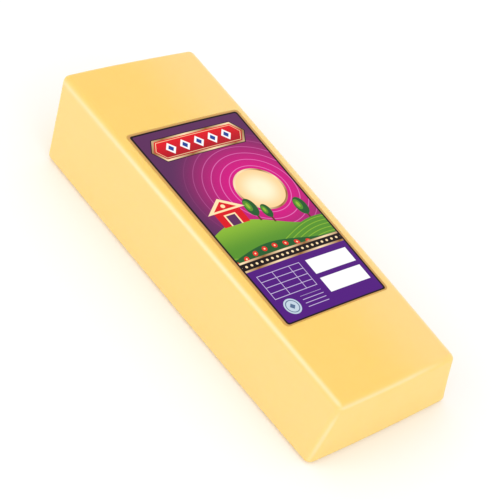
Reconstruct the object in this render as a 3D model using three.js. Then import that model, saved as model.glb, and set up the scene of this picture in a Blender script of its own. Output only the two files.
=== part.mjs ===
// A long catering block of cheddar lying on its base, with one printed label stuck on its top.
// Sizes are in millimetres. The length runs along X, from the far end at -X to the near end at +X.
// The width runs along Y, from the left side at -Y to the right side at +Y.
import * as THREE from "three";

// The block, measured round its top face.
const TOP_LENGTH = 324;
const TOP_WIDTH = 112;
const MIDDLE_HEIGHT = 60.5;

// What makes it uneven. It was pressed in a mould that is wider at the base, and it settled a little
// towards its near end and its right side.
const FALL_ALONG = 11; // how much lower the top is at the near end than at the far end
const FALL_ACROSS = 8; // how much lower the top is along the right side than along the left
const WIDTH_TAPER = 0.035; // share of the width gained at the far end and lost at the near end
const LEFT_EDGE_EXTRA = 3; // how much longer the top is along its left edge than along its middle
const LEFT_FLARE = 8; // how far the base stands out past the top on the left
const RIGHT_FLARE = 11; // and on the right
const FAR_OVERHANG = 9; // how far the top stands out past the base at the far end
const TOP_CROWN = 1; // how much the middle of the top swells up
const SIDE_BULGE = 1; // how much the long sides swell out half way along
const END_BULGE = 1; // how much the ends swell out half way across

// The soft edges all round it.
const EDGE_RADIUS = 5;
const EDGE_STEPS = 3; // from a face to the middle of its rounded edge
const FLAT_STEPS = [20, 8, 4]; // between the rounded edges, along the length, width and height

// The label, a thin rounded sheet that follows the top, and that narrows towards its near end with it.
const LABEL_LENGTH = 187;
const LABEL_WIDTH = 97;
const LABEL_MIDDLE = { x: 1, y: 0.5 };
const LABEL_TAPER = 0.035; // share of its width gained at its far end and lost at its near end
const LABEL_LEFT_EXTRA = 1.2; // how much longer it is along its left edge than along its middle
const LABEL_THICKNESS = 0.4;
const LABEL_GAP = 0.3; // the glue under it
const LABEL_CORNER = 3;
const LABEL_CORNER_STEPS = 2;
const LABEL_FLAT_STEPS = [16, 8];

// Grid lines from -half to half. They are evenly spaced over the flat, and in the rounded stretch at
// each end they are spaced so that the steps of the rounding turn through equal angles.
function gridLines(half, radius, flatSteps, edgeSteps) {
  const flat = half - radius;
  const lines = [];
  for (let i = 0; i <= flatSteps; i++) {
    lines.push(flat * ((2 * i) / flatSteps - 1));
  }
  for (let i = 1; i <= edgeSteps; i++) {
    const out = flat + radius * Math.tan((Math.PI / 4) * (i / edgeSteps));
    lines.push(out);
    lines.unshift(-out);
  }
  return lines;
}

// A box whose faces carry the given grid lines along X, Y and Z, with each vertex moved by place(point).
function griddedBox(lines, place) {
  const counts = lines.map((line) => line.length - 1);
  const geometry = new THREE.BoxGeometry(1, 1, 1, ...counts);
  geometry.deleteAttribute("normal");
  geometry.deleteAttribute("uv");
  const positions = geometry.getAttribute("position");
  const point = new THREE.Vector3();
  for (let i = 0; i < positions.count; i++) {
    for (let axis = 0; axis < 3; axis++) {
      const along = positions.getComponent(i, axis) + 0.5;
      point.setComponent(axis, lines[axis][Math.round(along * counts[axis])]);
    }
    place(point);
    positions.setXYZ(i, point.x, point.y, point.z);
  }
  geometry.computeVertexNormals();
  return geometry;
}

// Moves a point on the outside of a box onto the rounded form of that box.
// core holds the half sizes of the box less the radius.
function roundOff(point, core, radius) {
  const inner = point.clone().clamp(core.clone().negate(), core);
  point.sub(inner).setLength(radius).add(inner);
}

// Height of the top face above a point of the plan.
function topHeight(x, y) {
  const along = (2 * x) / TOP_LENGTH;
  const across = (2 * y) / TOP_WIDTH;
  const swell = Math.max(0, 1 - along ** 2) * Math.max(0, 1 - across ** 2);
  return MIDDLE_HEIGHT - (FALL_ALONG * along) / 2 - (FALL_ACROSS * across) / 2 + TOP_CROWN * swell;
}

// Turns a point of the true rounded box into one of the uneven block.
// along and across run from -1 to 1 over the plan, and up runs from 0 at the base to 1 at the top.
function settle(point) {
  const along = (2 * point.x) / TOP_LENGTH;
  const across = (2 * point.y) / TOP_WIDTH;
  const up = point.z / MIDDLE_HEIGHT + 0.5;
  const overhang = (FAR_OVERHANG * (1 - up) * (1 - along)) / 2;
  const leftEdge = (-LEFT_EDGE_EXTRA * along * across * up) / 2;
  const flare = (across < 0 ? LEFT_FLARE : RIGHT_FLARE) * across * (1 - up);
  point.x += overhang + leftEdge + END_BULGE * along * (1 - across ** 2);
  point.y += flare - point.y * WIDTH_TAPER * along + SIDE_BULGE * across * (1 - along ** 2);
  point.z = up * topHeight(point.x, point.y);
}

function makeBlock() {
  const half = new THREE.Vector3(TOP_LENGTH, TOP_WIDTH, MIDDLE_HEIGHT).multiplyScalar(0.5);
  const core = half.clone().subScalar(EDGE_RADIUS);
  const lines = half.toArray().map((side, axis) => {
    return gridLines(side, EDGE_RADIUS, FLAT_STEPS[axis], EDGE_STEPS);
  });
  const geometry = griddedBox(lines, (point) => {
    roundOff(point, core, EDGE_RADIUS);
    settle(point);
  });
  const material = new THREE.MeshStandardMaterial({ color: 0xfdd67d, roughness: 0.42, metalness: 0 });
  const block = new THREE.Mesh(geometry, material);
  block.name = "cheese_block";
  return block;
}

// The square rings of grid points round a corner's centre become round ones of this radius.
function cornerRadius(point, core) {
  return Math.max(Math.abs(point.x) - core.x, Math.abs(point.y) - core.y);
}

function makeLabel() {
  const halfLength = LABEL_LENGTH / 2;
  const halfWidth = LABEL_WIDTH / 2;
  const core = new THREE.Vector3(halfLength - LABEL_CORNER, halfWidth - LABEL_CORNER, 0);
  const lines = [
    gridLines(halfLength, LABEL_CORNER, LABEL_FLAT_STEPS[0], LABEL_CORNER_STEPS),
    gridLines(halfWidth, LABEL_CORNER, LABEL_FLAT_STEPS[1], LABEL_CORNER_STEPS),
    [LABEL_GAP, LABEL_GAP + LABEL_THICKNESS],
  ];
  const geometry = griddedBox(lines, (point) => {
    const clear = point.z;
    point.z = 0;
    if (Math.abs(point.x) > core.x && Math.abs(point.y) > core.y) {
      roundOff(point, core, cornerRadius(point, core));
    }
    const along = point.x / halfLength;
    const across = point.y / halfWidth;
    point.x += LABEL_MIDDLE.x - (LABEL_LEFT_EXTRA * along * across) / 2;
    point.y += LABEL_MIDDLE.y - point.y * LABEL_TAPER * along;
    point.z = topHeight(point.x, point.y) + clear;
  });
  const material = new THREE.MeshStandardMaterial({ color: 0x7a2f7c, roughness: 0.3, metalness: 0 });
  const label = new THREE.Mesh(geometry, material);
  label.name = "label";
  return label;
}

// The part's origin is the middle of the block's plan, on the surface it rests on.
const block = makeBlock();
const label = makeLabel();
const middle = new THREE.Box3().setFromObject(block).getCenter(new THREE.Vector3());
const onBase = new THREE.Group();
onBase.position.set(-middle.x, -middle.y, 0);
onBase.add(block, label);
const cheddarBlock = new THREE.Group();
cheddarBlock.add(onBase);

export default cheddarBlock;
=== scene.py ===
import math

import bpy
import numpy as np
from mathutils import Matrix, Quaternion, Vector, noise


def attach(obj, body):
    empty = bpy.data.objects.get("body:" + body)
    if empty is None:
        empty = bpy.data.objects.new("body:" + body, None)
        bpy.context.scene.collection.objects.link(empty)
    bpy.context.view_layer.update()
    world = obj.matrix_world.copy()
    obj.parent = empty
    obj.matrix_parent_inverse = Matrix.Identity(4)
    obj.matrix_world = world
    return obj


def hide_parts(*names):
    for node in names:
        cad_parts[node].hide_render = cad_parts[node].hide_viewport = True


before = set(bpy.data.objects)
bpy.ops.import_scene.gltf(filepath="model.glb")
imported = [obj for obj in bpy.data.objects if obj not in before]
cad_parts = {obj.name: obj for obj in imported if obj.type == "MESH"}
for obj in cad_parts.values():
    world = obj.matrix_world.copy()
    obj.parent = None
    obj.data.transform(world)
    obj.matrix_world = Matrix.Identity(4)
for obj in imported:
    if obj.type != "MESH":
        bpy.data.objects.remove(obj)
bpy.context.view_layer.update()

# The block is one piece of cheddar, pressed in a long mould and wrapped tight without a rind.
# The mould is wider at its base, so the long sides lean in, and the cheese has settled a little towards
# its near end at +X and its right side at +Y. It lies loose on its base, and all its edges are soft.
MM = 0.001
TOP_LENGTH = 324 * MM
TOP_WIDTH = 112 * MM
MIDDLE_HEIGHT = 60.5 * MM
FALL_ALONG = 11 * MM  # how much lower the top is at the near end than at the far end
FALL_ACROSS = 8 * MM  # how much lower the top is along the right side than along the left
WIDTH_TAPER = 0.035  # share of the width gained at the far end and lost at the near end
LEFT_EDGE_EXTRA = 3 * MM  # how much longer the top is along its left edge than along its middle
LEFT_FLARE = 8 * MM  # how far the base stands out past the top on the left
RIGHT_FLARE = 11 * MM  # and on the right
FAR_OVERHANG = 9 * MM  # how far the top stands out past the base at the far end
TOP_CROWN = 1 * MM  # how much the middle of the top swells up
SIDE_BULGE = 1 * MM  # how much the long sides swell out half way along
END_BULGE = 1 * MM  # how much the ends swell out half way across
EDGE_RADIUS = 5 * MM
EDGE_STEPS = 8  # from a face to the middle of its rounded edge
CHEESE_STEP = 1.5 * MM  # between the grid lines of the cheese's mesh

# The press and the wrap leave broad shallow waves and small dents in the faces, all of them inwards.
WAVE_LENGTH = 70 * MM
WAVE_DEPTH = 0.35 * MM
DENT_LENGTH = 13 * MM
DENT_DEPTH = 0.12 * MM

# Thin pale lines are painted along the edges as highlights. These are their half widths.
EDGE_LINE = 1.1 * MM  # along the left and near edges of the top
SOFT_LINE = 1.5 * MM  # along its right and far edges
CORNER_LINE = 1.05 * MM  # down the corners


def grid_lines(half, radius, step, edge_steps):
    """Places from -half to half, even over the flat and at even angles round the edge at each end."""
    flat = half - radius
    even = np.linspace(-flat, flat, max(2, round(2 * flat / step)) + 1)
    turn = np.arange(1, edge_steps + 1) / edge_steps * math.pi / 4
    edge = flat + radius * np.tan(turn)
    return np.concatenate([-edge[::-1], even, edge])


def gridded_box(lines):
    """Points and outward quads over the outside of a box with a grid line at each given place."""
    index = np.full([len(line) for line in lines], -1)
    outside = np.zeros(index.shape, bool)
    for axis in range(3):
        for end in (0, -1):
            np.moveaxis(outside, axis, 0)[end] = True
    index[outside] = np.arange(outside.sum())
    points = np.stack(np.meshgrid(*lines, indexing="ij"), -1)[outside]
    quads = []
    for axis in range(3):
        for end in (0, -1):
            sheet = np.moveaxis(index, axis, 0)[end]
            ring = np.stack([sheet[:-1, :-1], sheet[1:, :-1], sheet[1:, 1:], sheet[:-1, 1:]], -1)
            turned = (end == 0) != (axis == 1)
            quads.append(ring.reshape(-1, 4)[:, :: -1 if turned else 1])
    return points, np.concatenate(quads)


def round_off(points, core, radius):
    """The points moved onto the rounded form of their box, and the way out of it at each."""
    inner = np.clip(points, -core, core)
    outward = points - inner
    outward = outward / np.linalg.norm(outward, axis=1, keepdims=True)
    return inner + outward * radius, outward


def top_height(x, y):
    along = 2 * x / TOP_LENGTH
    across = 2 * y / TOP_WIDTH
    swell = np.clip(1 - along**2, 0, None) * np.clip(1 - across**2, 0, None)
    return MIDDLE_HEIGHT - FALL_ALONG * along / 2 - FALL_ACROSS * across / 2 + TOP_CROWN * swell


def settled(points):
    """The points of the true rounded box, moved to where the uneven block has them."""
    along = 2 * points[:, 0] / TOP_LENGTH
    across = 2 * points[:, 1] / TOP_WIDTH
    up = points[:, 2] / MIDDLE_HEIGHT + 0.5
    overhang = FAR_OVERHANG * (1 - up) * (1 - along) / 2
    left_edge = -LEFT_EDGE_EXTRA * along * across * up / 2
    flare = np.where(across < 0, LEFT_FLARE, RIGHT_FLARE) * across * (1 - up)
    x = points[:, 0] + overhang + left_edge + END_BULGE * along * (1 - across**2)
    y = points[:, 1] * (1 - WIDTH_TAPER * along) + flare + SIDE_BULGE * across * (1 - along**2)
    return np.stack([x, y, up * top_height(x, y)], -1)


def dip(points):
    """How far the waves and dents go in at each point. Both are seeded by place alone."""
    def share(size):
        return np.array([noise.noise(Vector(p / size)) for p in points]) * 0.5 + 0.5
    return WAVE_DEPTH * share(WAVE_LENGTH) + DENT_DEPTH * share(DENT_LENGTH)


def mesh_object(name, points, quads, marks):
    """A smooth piece of the given mesh, with a number from 0 to 1 at each point for each mark."""
    mesh = bpy.data.meshes.new(name)
    mesh.from_pydata(points.tolist(), [], quads.tolist())
    for mark, values in marks.items():
        mesh.attributes.new(mark, "FLOAT", "POINT").data.foreach_set("value", values.astype(np.float32))
    mesh.shade_smooth()
    mesh.update()
    made = bpy.data.objects.new(name, mesh)
    bpy.context.collection.objects.link(made)
    return made


block_half = np.array([TOP_LENGTH, TOP_WIDTH, MIDDLE_HEIGHT]) / 2
block_core = block_half - EDGE_RADIUS
block_lines = [grid_lines(side, EDGE_RADIUS, CHEESE_STEP, EDGE_STEPS) for side in block_half]
box_points, cheese_quads = gridded_box(block_lines)
box_points, outward = round_off(box_points, block_core, EDGE_RADIUS)
cheese_points = settled(box_points)
clear_of_base = np.clip(cheese_points[:, 2] / (2 * EDGE_RADIUS), 0, 1)
cheese_points -= outward * (dip(cheese_points) * clear_of_base)[:, None]
footprint = (cheese_points.min(0) + cheese_points.max(0))[:2] / 2
cheese_points[:, :2] -= footprint


def pale_line(first, second, middle, strength, width):
    """A soft pale painted highlight line along the edge between two faces, which look along first and
    second.

    It lies middle past the middle of the rounded edge, towards the face that looks along second, and it
    fades where the block turns away from both faces.
    """
    to_first = np.clip(outward @ first, 0, None)
    to_second = np.clip(outward @ second, 0, None)
    onto_first = np.clip(block_core @ np.abs(second) - box_points @ second, 0, None)
    onto_second = np.clip(block_core @ np.abs(first) - box_points @ first, 0, None)
    turned = EDGE_RADIUS * (np.arctan2(to_second, to_first) - math.pi / 4)
    away = (turned - onto_first + onto_second - middle) / width
    return strength * np.hypot(to_first, to_second) ** 3 * np.exp(-0.5 * away**2)


def painted_highlight_lines():
    """How strong the painted highlight is at each point: pale lines along the edges of the top and down the
    corners.

    The lines wander a little across their edges, and fade in and out along them.
    """
    along, across, up = (box_points / block_half).T
    left, right, far, near, top = np.array([[0, -1, 0], [0, 1, 0], [-1, 0, 0], [1, 0, 0], [0, 0, 1]])
    left_middle = (-0.5 + 1.75 * along - 0.7 * along**2) * MM
    left_strength = 0.84 - 0.3 * (along - 0.15) ** 2
    near_middle = (1.1 * across - 0.3) * MM
    near_strength = 0.55 * (1 - np.clip((across - 0.25) / 0.55, 0, 1))
    corner_middle = (0.4 + 0.9 * up) * MM
    corner_strength = 0.5 * np.clip(2 + 1.8 * up, 0, 1) * np.clip(1.9 - 2.2 * up, 0, 1)
    lines = [
        pale_line(left, top, left_middle, left_strength, EDGE_LINE),
        pale_line(near, top, near_middle, near_strength, EDGE_LINE),
        pale_line(right, top, 0, 0.5, SOFT_LINE),
        pale_line(far, top, 0, 0.4, SOFT_LINE),
    ]
    for side in (left, right):
        for end in (far, near):
            lines.append(pale_line(side, end, corner_middle, corner_strength, CORNER_LINE))
    return np.clip(np.max(lines, axis=0), 0, 1)


# The cheese's marks hold where the painted edge highlights lie, and how far each point faces an end and the
# top, for the painted shading.
cheese = mesh_object("cheddar", cheese_points, cheese_quads, {
    "painted_highlight": painted_highlight_lines(),
    "end": np.abs(outward[:, 0]),
    "top": np.clip(outward[:, 2], 0, 1),
})


class Wire:
    """The output socket of a shader node. An expression on wires adds its Math nodes."""

    def __init__(self, finish, socket):
        self.finish = finish
        self.socket = socket

    def math(self, operation, *others):
        return self.finish.node("Math", {"operation": operation}, dict(enumerate([self, *others])))

    def __add__(self, other):
        return self.math("ADD", other)

    def __sub__(self, other):
        return self.math("SUBTRACT", other)

    def __rsub__(self, other):
        return self.math("MULTIPLY_ADD", -1, other)

    def __mul__(self, other):
        return self.math("MULTIPLY", other)

    def __truediv__(self, other):
        return self.math("DIVIDE", other)

    def __mod__(self, other):
        return self.math("FLOORED_MODULO", other)

    def __abs__(self):
        return self.math("ABSOLUTE")

    __radd__ = __add__
    __rmul__ = __mul__

    def least(self, other):
        return self.math("MINIMUM", other)

    def most(self, other):
        return self.math("MAXIMUM", other)

    def rise(self, start, end):
        """0 at start and before, 1 at end and after, and smooth between them."""
        span = {"Value": self, "From Min": start, "From Max": end}
        return self.finish.node("MapRange", {"interpolation_type": "SMOOTHSTEP"}, span)


class Finish:
    """A material and its nodes."""

    def __init__(self, name):
        self.material = bpy.data.materials.new(name)
        self.material.use_nodes = True
        self.tree = self.material.node_tree
        self.surface = self.tree.nodes["Principled BSDF"]
        self.place = self.node("TexCoord", {}, {}, "Object")

    def node(self, kind, settings, inputs, output=0):
        """Adds a node, with its settings first and then the values or wires of its inputs."""
        made = self.tree.nodes.new("ShaderNode" + kind)
        for name, value in settings.items():
            setattr(made, name, value)
        self.fill(made, inputs)
        return Wire(self, made.outputs[output])

    def fill(self, made, inputs):
        for name, value in inputs.items():
            if isinstance(value, Wire):
                self.tree.links.new(value.socket, made.inputs[name])
            else:
                made.inputs[name].default_value = value

    def mix(self, share, first, second):
        """From the first colour to the second. The numbers are the Mix node's sockets for colours."""
        return self.node("Mix", {"data_type": "RGBA"}, {0: share, 6: first, 7: second}, 2)

    def at(self, axis):
        """Where a point of the piece is along one axis, in metres."""
        return self.node("SeparateXYZ", {}, {"Vector": self.place}, axis)

    def mark(self, name):
        """The number that the piece's mesh holds under a name at each point."""
        return self.node("Attribute", {"attribute_name": name}, {}, "Fac")

    def grain(self, size, detail=2, roughness=0.5):
        """Smooth noise of about the given size, from 0 to 1."""
        look = {"Vector": self.place, "Scale": 1 / size, "Detail": detail, "Roughness": roughness}
        return self.node("TexNoise", {}, look)

    def bump(self, height, depth):
        self.fill(self.surface, {"Normal": self.node("Bump", {}, {"Height": height, "Distance": depth})})


def ink(red, green, blue):
    """A colour given from 0 to 255 as a screen shows it, in the linear form that shaders take."""
    def linear(level):
        level = level / 255
        return level / 12.92 if level <= 0.04045 else ((level + 0.055) / 1.055) ** 2.4
    return (linear(red), linear(green), linear(blue), 1)


def cheese_finish():
    """Waxy pale yellow mottled by the curd, with painted shading that makes the ends and the left of the
    top deeper and the sides paler, and with pale painted highlights along the edges.
    """
    wax = Finish("cheese_wax")
    # The three yellows are painted shading: the sides paler and the top and ends deeper, as light and sheen
    # fall on each face.
    side_yellow = ink(246, 208, 127)
    end_yellow = ink(246, 209, 119)
    top_yellow = ink(246, 203, 100)
    curd_cream = ink(255, 240, 200)
    highlight_cream = ink(255, 230, 186)
    # Painted shade on the top, deepest on its left and fading out towards its right.
    painted_top_shade = wax.mark("top") * (1 - wax.at("Y").rise(-15 * MM, 50 * MM))
    colour = wax.mix(wax.mark("end"), side_yellow, end_yellow)
    colour = wax.mix(painted_top_shade, colour, top_yellow)
    curd = wax.grain(9 * MM, 4, 0.6)
    colour = wax.mix(0.05 * curd, colour, curd_cream)
    # Painted highlights: pale cream lines along the edges.
    colour = wax.mix(wax.mark("painted_highlight"), colour, highlight_cream)
    smears = wax.grain(14 * MM)
    wax.fill(wax.surface, {"Base Color": colour, "Roughness": 0.42 + 0.1 * smears})
    wax.fill(wax.surface, {"Subsurface Weight": 0.3, "Subsurface Scale": 3 * MM})
    wax.fill(wax.surface, {"Subsurface Radius": (1, 0.6, 0.25)})
    pores = wax.grain(1.6 * MM, 3)
    wax.bump(pores, 0.05 * MM)
    return wax.material


cheese.data.materials.append(cheese_finish())
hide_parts("cheese_block")
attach(cheese, "root")

# The label is one sheet of gloss film with round corners and glue under it, pressed onto the top by hand.
# It is printed in flat inks with a gold edge. It takes the shape of the cheese that it lies on, and it
# narrows towards its near end as the block does.
LABEL_LENGTH = 187 * MM
LABEL_WIDTH = 97 * MM
LABEL_MIDDLE = np.array([1, 0.5]) * MM
LABEL_TAPER = 0.035  # share of its width gained at its far end and lost at its near end
LABEL_LEFT_EXTRA = 1.2 * MM  # how much longer it is along its left edge than along its middle
LABEL_CORNER = 3 * MM
LABEL_STEP = 2 * MM  # between the grid lines of its mesh
FILM_THICKNESS = 0.2 * MM
GLUE_THICKNESS = 0.03 * MM

label_half = np.array([LABEL_LENGTH, LABEL_WIDTH]) / 2
label_core = label_half - LABEL_CORNER


def label_sheet():
    """Points and quads of the sheet, with its corners rounded, lying on the top of the cheese."""
    lines = [grid_lines(side, LABEL_CORNER, LABEL_STEP, EDGE_STEPS) for side in label_half]
    faces = np.array([GLUE_THICKNESS, GLUE_THICKNESS + FILM_THICKNESS])
    points, quads = gridded_box([*lines, faces])
    # The square rings of grid points round a corner's middle become round ones.
    past = np.clip(np.abs(points[:, :2]) - label_core, 0, None)
    ring = past.max(1)
    shrink = ring / np.maximum(np.linalg.norm(past, axis=1), 1e-12)
    plan = np.clip(points[:, :2], -label_core, label_core) + np.sign(points[:, :2]) * past * shrink[:, None]
    along, across = (plan / label_half).T
    drawn_in = np.column_stack([LABEL_LEFT_EXTRA * across / 2, LABEL_TAPER * plan[:, 1]])
    plan += LABEL_MIDDLE - along[:, None] * drawn_in
    laid = np.column_stack([plan, top_height(*plan.T)])
    laid[:, 2] += points[:, 2] - dip(laid)
    laid[:, :2] -= footprint
    return laid, quads


label = mesh_object("printed_label", *label_sheet(), {})

PLUM = ink(90, 40, 88)
MAGENTA = ink(212, 0, 128)
PINK = ink(232, 124, 196)
VIOLET = ink(78, 12, 122)
PALE_VIOLET = ink(212, 194, 230)
RED = ink(214, 10, 28)
LIGHT_RED = ink(226, 8, 30)
DEEP_RED = ink(166, 4, 26)
POPPY = ink(226, 40, 34)
CREAM = ink(252, 224, 174)
SUN_CREAM = ink(255, 240, 206)
SUN_EDGE = ink(250, 208, 150)
GOLD_DARK = ink(150, 98, 48)
GOLD_LIGHT = ink(250, 222, 178)
MARGIN_TAN = ink(196, 148, 88)
MARGIN_GOLD = ink(210, 164, 86)
NEAR_BLACK = ink(20, 2, 8)
GREEN_LIGHT = ink(140, 184, 50)
GREEN = ink(84, 142, 40)
GREEN_DARK = ink(32, 88, 40)
BARK = ink(96, 56, 28)
WHITE = ink(248, 248, 248)
SILVER = ink(190, 206, 220)
SLATE = ink(84, 108, 140)
BLUE = ink(30, 62, 146)

# These are in millimetres on the print.
INK_EDGE = 0.25  # over which one ink fades into the next
GLEAM = 15  # from a dark band of the gold to the next light one
HAIRLINE = 0.22  # half the width of a thin line


class Print(Finish):
    """Inks laid over each other on a film.

    Places are in millimetres across and down from the label's far left corner, and the print narrows
    with the label. Shapes are given by how far outside them a place is, which is less than nothing inside.
    The last factor of a slanted edge turns the step down to it into the straight distance from it.
    """

    def __init__(self, name):
        super().__init__(name)
        self.wide = LABEL_WIDTH / MM
        self.long = LABEL_LENGTH / MM
        middle = LABEL_MIDDLE - footprint
        # The print is laid out on the true rectangle that the label narrows from.
        along = (self.at("X") - middle[0]) / label_half[0]
        across = (self.at("Y") - middle[1]) / label_half[1] / (1 - LABEL_TAPER * along)
        along = along / (1 - LABEL_LEFT_EXTRA / LABEL_LENGTH * across)
        self.across = (across + 1) * (self.wide / 2)
        self.down = (along + 1) * (self.long / 2)
        self.aside = abs(self.across - self.wide / 2)
        gleam = (self.across * 0.8 + self.down).math("PINGPONG", GLEAM) / GLEAM
        self.gold = self.mix(gleam, GOLD_DARK, GOLD_LIGHT)

    def lay(self, under, over, outside):
        """One ink over another, inside a shape."""
        return self.mix(0.5 - outside / INK_EDGE, under, over)

    def reach(self, across, down):
        """The straight distance over a step across and a step down."""
        step = self.node("CombineXYZ", {}, {"X": across, "Y": down})
        return self.node("VectorMath", {"operation": "LENGTH"}, {0: step}, "Value")

    def disc(self, x, y, radius):
        return self.reach(self.across - x, self.down - y) - radius

    def oval(self, x, y, wide, tall):
        steps = (self.across - x) / wide, (self.down - y) / tall
        return (self.reach(*steps) - 1) * min(wide, tall)

    def bar(self, top, bottom):
        return abs(self.down - (top + bottom) / 2) - (bottom - top) / 2

    def box(self, left, top, right, bottom):
        sides = abs(self.across - (left + right) / 2) - (right - left) / 2
        return sides.most(self.bar(top, bottom))

    def row(self, pitch):
        """How far a place is across from the nearest of a row of points, one of them in the middle."""
        return abs((self.across - (self.wide - pitch) / 2) % pitch - pitch / 2)

    def rules(self, start, pitch):
        """Thin lines across, a pitch apart."""
        return abs((self.down - start) % pitch - pitch / 2) - HAIRLINE

    def hill(self, low, height, peak, length):
        """How far a place is above the outline of a hill, which is lowest at low between its peaks."""
        turn = (self.across - peak) * (2 * math.pi / length)
        return low - height * turn.math("COSINE") - self.down


def print_sky(film):
    """Plum that glows magenta round a pale sun with a gold rim and thin rings about it."""
    out = film.disc(64, 76, 0)
    colour = film.mix(1 - out.rise(14, 66), PLUM, MAGENTA)
    ring_pitch = 6.5
    ringed = film.lay(colour, PINK, abs(out % ring_pitch - ring_pitch / 2) - 0.3)
    colour = film.mix(0.8 - 0.8 * out.rise(24, 62), colour, ringed)
    colour = film.lay(colour, film.gold, out - 20.1)
    return film.lay(colour, film.mix(out.rise(4, 19), SUN_CREAM, SUN_EDGE), out - 18.5)


def print_tree(film, colour, left, top, wide, tall):
    """A tree on a thin trunk, with a dark oval crown that is lit on its left."""
    middle, foot = left + wide / 2, top + tall
    lit = middle - 0.14 * wide, top + 0.4 * tall
    colour = film.lay(colour, BARK, film.box(middle - 0.8, foot - 3, middle + 0.8, foot + 4.5))
    colour = film.lay(colour, GREEN_DARK, film.oval(middle, top + tall / 2, wide / 2, tall / 2))
    colour = film.lay(colour, GREEN, film.oval(*lit, 0.27 * wide, 0.3 * tall))
    return film.lay(colour, GREEN_LIGHT, film.oval(*lit, 0.12 * wide, 0.16 * tall))


def print_barn(film, colour):
    """A red barn with a cream gable edge, a round window and a dark door in a cream frame."""
    colour = film.lay(colour, RED, film.box(15, 84, 37, 99.5))
    gable_slope = 0.75
    gable = (abs(film.across - 26) * gable_slope - film.down + 74) * 0.8
    colour = film.lay(colour, CREAM, gable.most(film.down - 86))
    colour = film.lay(colour, RED, (gable + 2.4).most(film.down - 84.4))
    colour = film.lay(colour, CREAM, film.disc(26, 81.4, 1.7))
    colour = film.lay(colour, CREAM, film.box(21, 89, 31, 99.5))
    return film.lay(colour, PLUM, film.box(22.2, 90.2, 29.8, 99.5))


def print_hills(film, colour):
    """A far hill with the barn and trees, one with furrows, and a near one with a row of poppies."""
    far_green = film.mix(film.down.rise(94, 122), GREEN_LIGHT, GREEN)
    colour = film.lay(colour, far_green, film.hill(106, 9, 26, 118))
    for left, top, wide, tall in ((40.5, 80.5, 9.5, 17), (51, 89, 7.5, 13), (78.5, 91, 10, 17)):
        colour = print_tree(film, colour, left, top, wide, tall)
    colour = print_barn(film, colour)
    ploughed = film.hill(119, 8, 88, 128)
    colour = film.lay(colour, GREEN, ploughed)
    furrow_pitch = 3.6
    furrows = abs(ploughed % furrow_pitch - furrow_pitch / 2) - 0.28
    colour = film.lay(colour, GREEN_LIGHT, furrows.most(ploughed + 1))
    near = film.hill(125, 4, 36, 104)
    colour = film.lay(colour, GREEN_DARK, near)
    poppy = film.reach(film.row(9.2), near + 3.6)
    colour = film.lay(colour, POPPY, poppy - 2.1)
    return film.lay(colour, CREAM, poppy - 0.7)


def print_plaque(film, colour):
    """A red plaque with pointed ends, a gold rim, a thin cream line and a row of five diamonds."""
    above = abs(film.down - 21)
    edge = (above - 10.5).most((film.aside + above * 0.6 - 40) * 0.86)
    colour = film.lay(colour, NEAR_BLACK, edge - 0.7)
    colour = film.lay(colour, film.gold, edge)
    colour = film.lay(colour, film.mix(film.down.rise(10, 32), LIGHT_RED, DEEP_RED), edge + 1.7)
    colour = film.lay(colour, CREAM, abs(edge + 2.9) - 0.2)
    diamonds = (film.row(12) * 1.3 + above - 5.6) * 0.6
    five = film.aside - 30
    colour = film.lay(colour, WHITE, diamonds.most(five))
    return film.lay(colour, BLUE, (diamonds + 1.5).most(five))


def print_panel(film, colour):
    """A violet panel with two blank boxes, a blank ruled table, blank lines and a small silver seal."""
    colour = film.lay(colour, VIOLET, 133 - film.down)
    for top in (144, 161):
        colour = film.lay(colour, WHITE, film.box(52, top, 90, top + 13))
    table = film.box(8, 144, 46, 164.8)
    posts = abs(abs(film.across - 29) - 7.5) - HAIRLINE
    lines = film.rules(141.4, 5.2).least(posts).most(table)
    colour = film.lay(colour, PALE_VIOLET, lines.least(abs(table) - HAIRLINE))
    notes = film.rules(167.4, 3.2).most(film.box(27, 169, 46, 180.4))
    colour = film.lay(colour, PALE_VIOLET, notes)
    colour = film.lay(colour, SILVER, film.disc(16, 174, 6.6))
    colour = film.lay(colour, SLATE, abs(film.disc(16, 174, 5)) - 0.35)
    small_diamond = (abs(film.across - 16) + abs(film.down - 174)) * 0.7 - 1.7
    return film.lay(colour, SLATE, small_diamond)


def print_strip(film, colour):
    """A black strip with gold edges and a row of cream dots, between the scene and the panel."""
    colour = film.lay(colour, film.gold, film.bar(129.4, 138.4))
    colour = film.lay(colour, NEAR_BLACK, film.bar(131, 136.8))
    return film.lay(colour, CREAM, film.reach(film.row(4.6), film.down - 133.9) - 1)


def print_margin(film, colour):
    """A dark outline with round corners, and a tan margin outside it, narrower at the foot.

    Each rim has its distance from the sides and from the foot, the radius of its corners, and its ink.
    """
    rims = ((3.4, 2.1, 1.6, NEAR_BLACK), (1.9, 0.9, 2.2, MARGIN_TAN), (0.7, 0.4, 2.6, MARGIN_GOLD))
    for inset, foot, radius, rim in rims:
        past_side = film.aside - (film.wide / 2 - inset - radius)
        from_middle = abs(film.down - (film.long + inset - foot) / 2)
        past_end = from_middle - ((film.long - inset - foot) / 2 - radius)
        round_corner = film.reach(past_side.most(0), past_end.most(0))
        colour = film.lay(colour, rim, radius - round_corner - past_side.most(past_end).least(0))
    return colour


def label_finish():
    """Gloss film, printed over its whole face."""
    film = Print("printed_film")
    colour = print_sky(film)
    for print_part in (print_hills, print_plaque, print_panel, print_strip, print_margin):
        colour = print_part(film, colour)
    film.fill(film.surface, {"Base Color": colour, "Roughness": 0.3, "Specular IOR Level": 0.12})
    return film.material


label.data.materials.append(label_finish())
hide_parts("label")
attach(label, "root")

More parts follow.
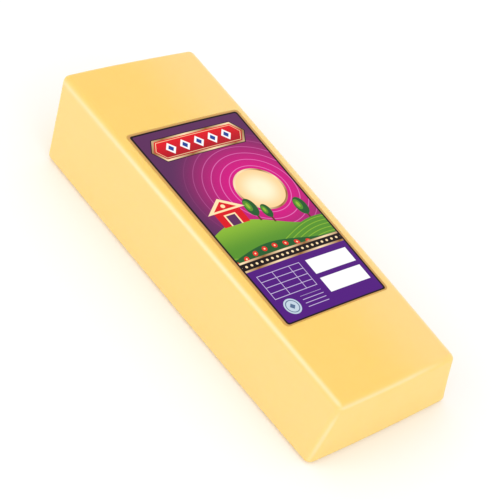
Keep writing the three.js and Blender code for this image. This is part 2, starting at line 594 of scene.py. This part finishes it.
# The table is one plain pale sheet, flat under the block and so much larger that its edge doesn't show.
# It has a dull white coat, which the room's light makes almost as bright as the room.
TABLE_SIZE = 6
WHITE_COAT = (0.97, 0.97, 0.97, 1)
bpy.ops.mesh.primitive_plane_add(size=TABLE_SIZE)
table = bpy.context.object
table.name = "table"
pale_table = Finish("pale_table")
pale_table.fill(pale_table.surface, {"Base Color": WHITE_COAT, "Roughness": 0.8})
table.data.materials.append(pale_table.material)

# The studio is a white room, evenly lit from all round, so that shadows are faint and soft.
# A large round lamp stands on each side of the camera and lifts the left side and the near end.
room = bpy.data.worlds.new("studio")
room.use_nodes = True
room_light = room.node_tree.nodes["Background"]
room_light.inputs["Color"].default_value = (1, 1, 1, 1)
room_light.inputs["Strength"].default_value = 1
bpy.context.scene.world = room


def soft_lamp(name, place, size, power):
    lamp = bpy.data.lights.new(name, "AREA")
    lamp.shape = "DISK"
    lamp.size = size
    lamp.energy = power
    made = bpy.data.objects.new(name, lamp)
    made.location = place
    made.rotation_euler = (-Vector(place)).to_track_quat("-Z", "Y").to_euler()
    bpy.context.collection.objects.link(made)


soft_lamp("left_lamp", place=(-0.5, -1.6, 1.1), size=1.6, power=5.5)
soft_lamp("near_lamp", place=(1.7, -0.1, 1.1), size=1.6, power=4.5)

# The camera stands off the near left corner and looks down on the block. It is rolled, so that upright
# things lean to the right in the picture.
CAMERA_PLACE = Vector((0.5454, -0.6472, 0.8319))
CAMERA_AIM = Vector((0.0076, -0.0037, 0.0297))
CAMERA_ROLL = math.radians(18.9)
FOCAL_PIXELS = 1663
PICTURE_PIXELS = 500
eye = bpy.data.cameras.new("camera")
eye.sensor_width = 36
eye.lens = FOCAL_PIXELS / PICTURE_PIXELS * eye.sensor_width
eye.clip_start = 0.05
camera = bpy.data.objects.new("camera", eye)
camera.location = CAMERA_PLACE
camera.rotation_mode = "QUATERNION"
looking = (CAMERA_AIM - CAMERA_PLACE).to_track_quat("-Z", "Y")
camera.rotation_quaternion = looking @ Quaternion((0, 0, 1), CAMERA_ROLL)
bpy.context.collection.objects.link(camera)
bpy.context.scene.camera = camera
bpy.context.scene.view_settings.view_transform = "Standard"
